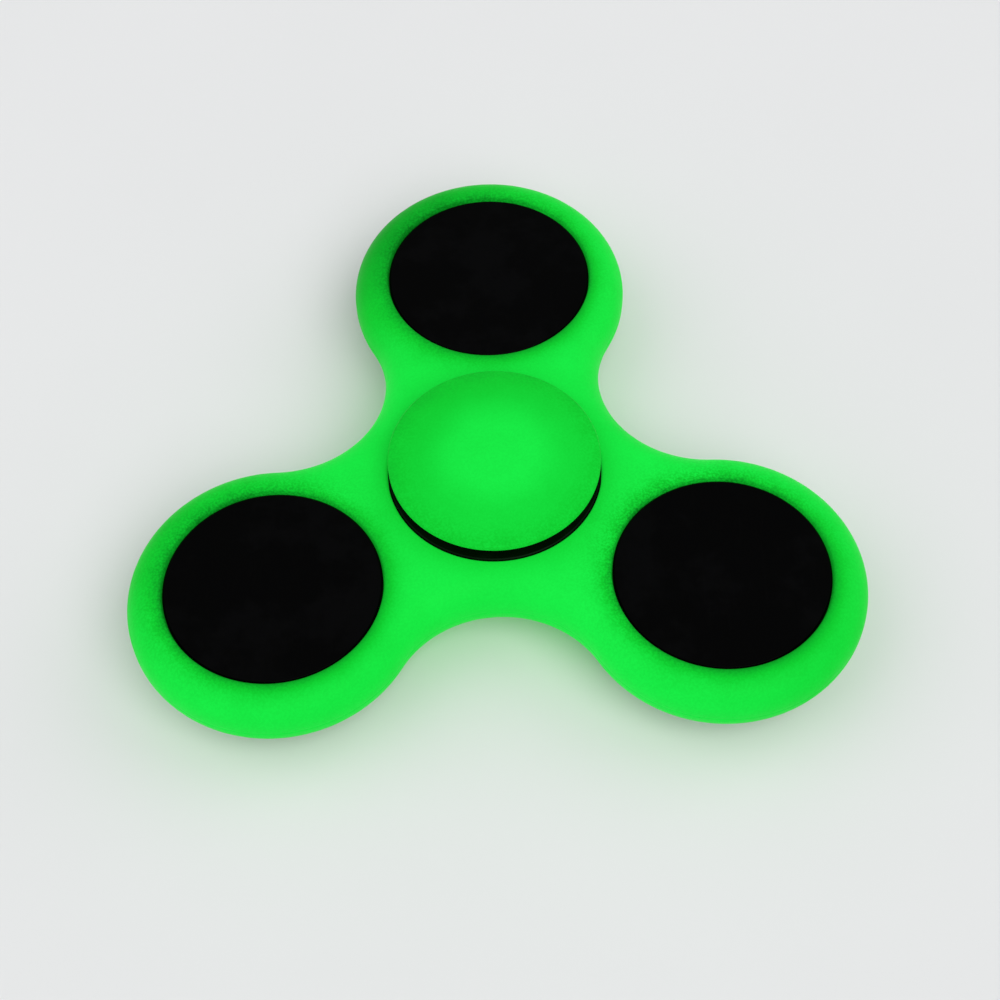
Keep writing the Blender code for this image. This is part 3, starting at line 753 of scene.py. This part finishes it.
def handling_group():
    """Signs of use: broad finger smudges and thin scratches, both as 0 to 1 masks."""
    tree, given, result = new_group(
        "handling marks",
        [("Place", "NodeSocketVector", None), ("Smudge Size", "NodeSocketFloat", 6.0)],
        [("Smudges", "NodeSocketFloat"), ("Scratches", "NodeSocketFloat")],
    )
    scale = add(tree, "Math", {"operation": "DIVIDE"}, _0=1 / MM, _1=given["Smudge Size"]).outputs[0]
    broad = noise(tree, given["Place"], scale, 4.0, 0.62)
    tree.links.new(spread(tree, broad, 0.42, 0.66, 0.0, 1.0), result["Smudges"])
    lines = 0.0
    for turn, stretch in ((0.5, 0.09), (-0.9, 0.07), (2.1, 0.11)):
        laid = add(tree, "Mapping", Vector=given["Place"], Rotation=(0.0, 0.0, turn),
                   Scale=(1.0, stretch, 1.0))
        thin = noise(tree, laid.outputs[0], 1.7 / MM, 1.0)
        streak = spread(tree, thin, 0.715, 0.74, 0.0, 1.0)
        lines = add(tree, "Math", {"operation": "MAXIMUM"}, _0=lines, _1=streak).outputs[0]
    tree.links.new(lines, result["Scratches"])
    return tree


def turning_group():
    """Rings that a lathe or a grinding wheel leaves: noise of (distance + 1.37 * height) from the axis."""
    tree, given, result = new_group(
        "turning marks",
        [("Distance", "NodeSocketFloat", 0.0), ("Height Above", "NodeSocketFloat", 0.0),
         ("Rings Per Millimetre", "NodeSocketFloat", 9.0)],
        [("Height", "NodeSocketFloat"), ("Mask", "NodeSocketFloat")],
    )
    along = sum_of(tree, given["Distance"], product(tree, given["Height Above"], 1.37))
    turns = product(tree, along, given["Rings Per Millimetre"])
    rings = add(tree, "TexNoise", {"noise_dimensions": "1D"}, W=turns, Scale=1.0, Detail=3.0,
                Roughness=0.6).outputs["Fac"]
    tree.links.new(rings, result["Height"])
    tree.links.new(spread(tree, rings, 0.35, 0.65, 0.0, 1.0), result["Mask"])
    return tree


def glow_group():
    """Painted glow of the plastic, as the colours of its painted light and of its base colour, painted
    darker with it as painted shade.

    The level is painted_lighting * fullness * (1 + mottle * (1 + LIP_MOTTLE * lip) * uneven), with uneven
    from clouds and specks of pigment, strongest where the wall is a thin lip. A brighter level is a paler
    green.
    """
    tree, given, result = new_group(
        "painted glow",
        [("Place", "NodeSocketVector", None), ("Charge", "NodeSocketFloat", 1.0),
         ("Fullness", "NodeSocketFloat", 1.0), ("Lip", "NodeSocketFloat", 0.0),
         ("Mottle", "NodeSocketFloat", 0.10)],
        [("Light", "NodeSocketColor"), ("PigmentWithPaintedShade", "NodeSocketColor")],
    )
    cloud = noise(tree, given["Place"], 0.30 / MM, 4.0, 0.6)
    speck = spread(tree, noise(tree, given["Place"], 4.0 / MM, 2.0, 0.6), 0.34, 0.66, -1.0, 1.0)
    uneven = sum_of(tree, product(tree, sum_of(tree, cloud, -0.5), CLOUD_SHARE),
                    product(tree, speck, SPECK_SHARE))
    mottle = product(tree, given["Mottle"], sum_of(tree, 1.0, product(tree, given["Lip"], LIP_MOTTLE)))
    uneven = add(tree, "Math", {"operation": "MULTIPLY_ADD"}, _0=uneven, _1=mottle, _2=1.0).outputs[0]
    level = product(tree, product(tree, given["Charge"], given["Fullness"]), uneven)
    # Both ramps follow the painted light level: the glow is painted light, and the base colour is painted
    # shade
    for label, stops in (("Light", PAINTED_GLOW_STOPS), ("PigmentWithPaintedShade", PIGMENT_WITH_PAINTED_SHADE_STOPS)):
        ramp = add(tree, "ValToRGB", Fac=product(tree, level, 1 / TOP_LEVEL))
        elements = ramp.color_ramp.elements
        for element, (place, colour) in zip(elements, (stops[0], stops[-1])):
            element.position, element.color = place, (*colour, 1)
        for place, colour in stops[1:-1]:
            elements.new(place).color = (*colour, 1)
        tree.links.new(ramp.outputs["Color"], result[label])
    return tree


GROUPS = {
    "mould grain": mould_grain_group(),
    "handling marks": handling_group(),
    "turning marks": turning_group(),
    "painted glow": glow_group(),
}


def start_material(name):
    """A new material's node tree, its shader, and the Object coordinates that its patterns are laid on."""
    material = bpy.data.materials.new(name)
    material.use_nodes = True
    tree = material.node_tree
    place = tree.nodes.new("ShaderNodeTexCoord").outputs["Object"]
    return material, tree, tree.nodes["Principled BSDF"], place


def use_group(tree, name, **inputs):
    """Places one of the shared effects with its own values."""
    node = tree.nodes.new("ShaderNodeGroup")
    node.node_tree = GROUPS[name]
    for key, value in inputs.items():
        socket = node.inputs[key.replace("_", " ")]
        if isinstance(value, bpy.types.NodeSocket):
            tree.links.new(value, socket)
        else:
            socket.default_value = value
    return node.outputs


def attribute(tree, name):
    """A number kept on the mesh's points."""
    return add(tree, "Attribute", {"attribute_name": name}).outputs["Fac"]


def two_colours(tree, share, first, second):
    """Mixes two colours by a share that changes over the surface."""
    mix = add(tree, "Mix", {"data_type": "RGBA"})
    tree.links.new(share, mix.inputs["Factor"])
    for socket, colour in zip([s for s in mix.inputs if s.type == "RGBA"], (first, second)):
        socket.default_value = (*colour, 1)
    return next(s for s in mix.outputs if s.type == "RGBA")


def bump(tree, shader, height, distance):
    """Fine relief of a surface: a height from 0 to 1, and how deep that is."""
    node = add(tree, "Bump", Height=height, Distance=distance, Strength=1.0)
    tree.links.new(node.outputs["Normal"], shader.inputs["Normal"])


def painted_glow_plastic(name, grain_size):
    """Green glow-powder plastic: satin gloss, grain, smudges, a painted glow as its emission and painted
    shade in its base colour.
    """
    material, tree, shader, place = start_material(name)
    light = use_group(tree, "painted glow", Place=place, Charge=attribute(tree, "painted_lighting"),
                      Fullness=attribute(tree, "fullness"), Lip=attribute(tree, "lip"), Mottle=GLOW_MOTTLE)
    grain = use_group(tree, "mould grain", Place=place, Grain_Size=grain_size)
    marks = use_group(tree, "handling marks", Place=place, Smudge_Size=7.0)
    # Base colour painted darker and lighter with the painted light level: painted shade
    tree.links.new(light["PigmentWithPaintedShade"], shader.inputs["Base Color"])
    # Emission: painted glow, as the plastic is no lamp
    tree.links.new(light["Light"], shader.inputs["Emission Color"])
    shader.inputs["Emission Strength"].default_value = PAINTED_GLOW_STRENGTH
    satin = spread(tree, marks["Smudges"], 0.0, 1.0, *GLOW_ROUGHNESS)
    tree.links.new(sum_of(tree, satin, product(tree, marks["Scratches"], 0.12)), shader.inputs["Roughness"])
    shader.inputs["Specular IOR Level"].default_value = 0.05
    # Green tint on the plastic's reflections: painted green light
    shader.inputs["Specular Tint"].default_value = (0.25, 1.0, 0.35, 1)
    bump(tree, shader, grain["Height"], GRAIN_DEPTH)
    return material


def black_plastic():
    """Black moulded cover: satin grained face, smooth bevel, finger smudges and a few hair scratches."""
    material, tree, shader, place = start_material("black cover plastic")
    grain = use_group(tree, "mould grain", Place=place, Grain_Size=0.10)
    marks = use_group(tree, "handling marks", Place=place, Smudge_Size=8.0)
    face = spread(tree, attribute(tree, "axis_distance"), BEVEL_START, BEVEL_END, 1.0, 0.0)
    smudged = product(tree, face, spread(tree, marks["Smudges"], 0.0, 1.0, 0.1, 1.0))
    colour = two_colours(tree, smudged, (0.0003, 0.0003, 0.0003), (0.0010, 0.0010, 0.0011))
    tree.links.new(colour, shader.inputs["Base Color"])
    satin = spread(tree, marks["Smudges"], 0.0, 1.0, *COVER_ROUGHNESS)
    satin = sum_of(tree, satin, product(tree, marks["Scratches"], 0.10))
    gloss = sum_of(tree, product(tree, face, sum_of(tree, satin, -BEVEL_ROUGHNESS)), BEVEL_ROUGHNESS)
    tree.links.new(gloss, shader.inputs["Roughness"])
    shader.inputs["Specular IOR Level"].default_value = 0.03
    bump(tree, shader, product(tree, grain["Height"], face), COVER_GRAIN_DEPTH)
    return material


def steel(name, dark, light, rough, rings, ring_depth, edge=1.0):
    """Steel between two tones, with machining rings, and an oily smear that dulls it here and there.

    Rings are counted a millimetre. Edge is how strongly it mirrors at a slant.
    """
    material, tree, shader, place = start_material(name)
    turned = use_group(tree, "turning marks", Distance=attribute(tree, "axis_distance"),
                       Height_Above=attribute(tree, "height"), Rings_Per_Millimetre=rings)
    marks = use_group(tree, "handling marks", Place=place, Smudge_Size=2.5)
    share = sum_of(tree, product(tree, turned["Mask"], 0.5), product(tree, marks["Smudges"], 0.5))
    tree.links.new(two_colours(tree, share, dark, light), shader.inputs["Base Color"])
    shader.inputs["Metallic"].default_value = 1.0
    shader.inputs["Specular Tint"].default_value = (edge, edge, edge, 1)
    dull = sum_of(tree, spread(tree, marks["Smudges"], 0.0, 1.0, rough, rough + SMEAR_ROUGHNESS),
                  product(tree, turned["Mask"], RING_ROUGHNESS))
    tree.links.new(dull, shader.inputs["Roughness"])
    bump(tree, shader, turned["Height"], ring_depth)
    return material


FRAME_PLASTIC = painted_glow_plastic("painted glow plastic frame", grain_size=0.16)
CAP_PLASTIC = painted_glow_plastic("painted glow plastic cap", grain_size=0.13)
BLACK_PLASTIC = black_plastic()
# Bearing rings painted near-black with a green tint and faint edge reflections: painted shade and painted
# green light in the gap under the caps
PAINTED_SHADE_RACE_STEEL = steel("bearing steel painted dark green as shade", (0.002, 0.007, 0.002), (0.004, 0.012, 0.005),
                   rough=0.36, rings=14.0, ring_depth=0.0015 * MM, edge=0.03)
BALL_STEEL = steel("polished ball steel", (0.58, 0.58, 0.59), (0.68, 0.68, 0.69),
                   rough=0.06, rings=5.0, ring_depth=0.0002 * MM)
SHEET_STEEL = steel("pressed sheet steel", (0.24, 0.23, 0.22), (0.40, 0.39, 0.37),
                    rough=0.30, rings=6.0, ring_depth=0.0020 * MM)
SLUG_STEEL = steel("turned slug steel", (0.34, 0.34, 0.33), (0.52, 0.52, 0.51),
                   rough=0.28, rings=7.0, ring_depth=0.0040 * MM)


# The pieces


def build_frame():
    """The moulded frame."""
    finished_piece(frame_mesh("frame_moulding"), FRAME_PLASTIC, "rotor", "spinner_frame")


def build_caps():
    """The two finger caps, one the other's mirror image."""
    upper = cap_profile()
    for word, end, profile in (("upper", "top", upper), ("lower", "bottom", flipped(upper))):
        mesh = cap_mesh(f"cap_{word}", profile)
        finished_piece(mesh, CAP_PLASTIC, "core", f"finger_cap_{end}")


def build_lobes():
    """Each lobe's two covers and its slug."""
    peg_cover, socket_cover = cover_profile(peg=True), flipped(cover_profile(peg=False))
    slug = slug_profile()
    for k, axis in enumerate(LOBE_AXES, start=1):
        centre = tuple(axis)
        for word, end, profile in (("upper", "top", peg_cover), ("lower", "bottom", socket_cover)):
            mesh = turned_mesh(f"cover_{word}_{k}", profile, centre, closed=False)
            finished_piece(mesh, BLACK_PLASTIC, "rotor", f"lobe_cover_{end}_{k}")
        finished_piece(turned_mesh(f"slug_{k}", slug, centre), SLUG_STEEL, "rotor", f"lobe_slug_{k}")


def pitch_place(index):
    """A place on the pitch circle, counted in balls from +X."""
    angle = 2 * math.pi * index / BALL_COUNT
    return PITCH_RADIUS * math.cos(angle), PITCH_RADIUS * math.sin(angle)


def build_bearing():
    """Both rings, the shields with their split rings, the cage with its rivets, and the balls."""
    outer = turned_mesh("race_outer", outer_race_profile())
    finished_piece(outer, PAINTED_SHADE_RACE_STEEL, "rotor", "bearing_outer_race")
    inner = turned_mesh("race_inner", inner_race_profile())
    finished_piece(inner, PAINTED_SHADE_RACE_STEEL, "core", "bearing_inner_race")
    shield, rivet = shield_profile(), rivet_profile()
    for word, side in (("upper", 1), ("lower", -1)):
        washer = turned_mesh(f"dust_shield_{word}", shield * (1, side))
        fittings = (
            (washer, "rotor", "shield"),
            (snap_ring_mesh(f"split_ring_{word}", side), "rotor", "snap_ring"),
            (cage_mesh(f"ribbon_cage_{word}", side), "cage", "cage"),
        )
        for mesh, body, node in fittings:
            finished_piece(mesh, SHEET_STEEL, body, f"{node}_{word}")
    for k in range(BALL_COUNT):
        number = k + 1  # as the working parts are counted
        mesh = turned_mesh(f"rivet_{number}", rivet, pitch_place(k + 0.5), closed=False)
        finished_piece(mesh, SHEET_STEEL, "cage", f"cage_rivet_{number}")
        mesh = ball_mesh(f"ball_{number}", pitch_place(k))
        finished_piece(mesh, BALL_STEEL, f"ball_{number}", f"bearing_ball_{number}")


# Studio

FLOOR_REACH = 6.0
SURROUND_LIGHT = 0.50  # brightness of the surround as a light, and as the camera sees it
SURROUND_SEEN = 0.78
VIEW_ELEVATION = math.radians(56.92)
VIEW_TURN = math.radians(1.75)  # about the upright
VIEW_ROLL = math.radians(0.28)
VIEW_DISTANCE = 210.13 * MM
VIEW_ACROSS = -3.636 * MM  # where the hub's axis crosses the plane of the covers, seen from the camera
VIEW_UP = 2.984 * MM
SENSOR_WIDTH = 36.0  # in millimetres, as lenses are
FOCAL_LENGTH = 73.34
SIDE_SHIFT = -0.03  # in widths of the view


def studio_floor():
    """A wide pale floor, barely uneven in tone. It is clear from below, so it hides nothing."""
    mesh = bpy.data.meshes.new("floor")
    corners = [(-FLOOR_REACH, -FLOOR_REACH, 0), (FLOOR_REACH, -FLOOR_REACH, 0),
               (FLOOR_REACH, FLOOR_REACH, 0), (-FLOOR_REACH, FLOOR_REACH, 0)]
    mesh.from_pydata(corners, [], [(0, 1, 2, 3)])
    material, tree, shader, place = start_material("pale floor")
    shade = two_colours(tree, noise(tree, place, 14.0, 3.0), (0.74, 0.74, 0.735), (0.78, 0.78, 0.775))
    tree.links.new(shade, shader.inputs["Base Color"])
    shader.inputs["Roughness"].default_value = 0.75
    shader.inputs["Specular IOR Level"].default_value = 0.2
    clear = add(tree, "BsdfTransparent")
    from_below = add(tree, "NewGeometry").outputs["Backfacing"]
    either = add(tree, "MixShader", _0=from_below, _1=shader.outputs[0], _2=clear.outputs[0])
    tree.links.new(either.outputs[0], tree.nodes["Material Output"].inputs["Surface"])
    mesh.materials.append(material)
    floor = bpy.data.objects.new("floor", mesh)
    bpy.context.scene.collection.objects.link(floor)


def soft_light(name, azimuth, elevation, softness, strength):
    """Even light from one side, as from a large soft box far away. Azimuth 0 is from -Y, 90 from +X."""
    lamp = bpy.data.lights.new(name, "SUN")
    lamp.angle = math.radians(softness)
    lamp.energy = strength
    around, above = math.radians(azimuth), math.radians(elevation)
    level = Vector((math.sin(around), -math.cos(around), 0)) * math.cos(above)
    towards = level + Vector((0, 0, math.sin(above)))
    light = bpy.data.objects.new(name, lamp)
    light.location = towards
    light.rotation_euler = towards.to_track_quat("Z", "Y").to_euler()
    bpy.context.scene.collection.objects.link(light)


def studio_light():
    """A soft surround, seen paler than the light it gives, and three soft lights."""
    world = bpy.data.worlds.new("soft surround")
    world.use_nodes = True
    tree = world.node_tree
    background = tree.nodes["Background"]
    background.inputs["Color"].default_value = (0.95, 0.97, 1.0, 1)
    seen = add(tree, "LightPath").outputs["Is Camera Ray"]
    tree.links.new(spread(tree, seen, 0.0, 1.0, SURROUND_LIGHT, SURROUND_SEEN, smooth=False),
                   background.inputs["Strength"])
    bpy.context.scene.world = world
    soft_light("key soft box", azimuth=28, elevation=52, softness=50, strength=1.45)
    soft_light("fill soft box", azimuth=-85, elevation=45, softness=60, strength=0.55)
    soft_light("side soft box", azimuth=108, elevation=35, softness=50, strength=0.45)


def studio_camera():
    """Looks down along +Y, a little turned and rolled, with the hub's axis at its place in the view."""
    right_axis = Vector((1, 0, 0))
    back_axis = Vector((0, -math.cos(VIEW_ELEVATION), math.sin(VIEW_ELEVATION)))
    facing = Matrix((right_axis, back_axis.cross(right_axis), back_axis))
    to_camera = Matrix.Rotation(VIEW_ROLL, 3, "Z") @ facing @ Matrix.Rotation(VIEW_TURN, 3, "Z")
    hub = Vector((0, 0, MID + COVER_TOP))
    place = hub - to_camera.transposed() @ Vector((VIEW_ACROSS, VIEW_UP, -VIEW_DISTANCE))
    lens = bpy.data.cameras.new("camera")
    lens.sensor_width = SENSOR_WIDTH
    lens.lens = FOCAL_LENGTH
    lens.shift_x = SIDE_SHIFT
    lens.clip_start = 0.01
    camera = bpy.data.objects.new("camera", lens)
    camera.matrix_world = Matrix.Translation(place) @ to_camera.transposed().to_4x4()
    bpy.context.scene.collection.objects.link(camera)
    bpy.context.scene.camera = camera


build_frame()
build_caps()
build_lobes()
build_bearing()
studio_floor()
studio_light()
studio_camera()
bpy.context.scene.view_settings.view_transform = "Standard"
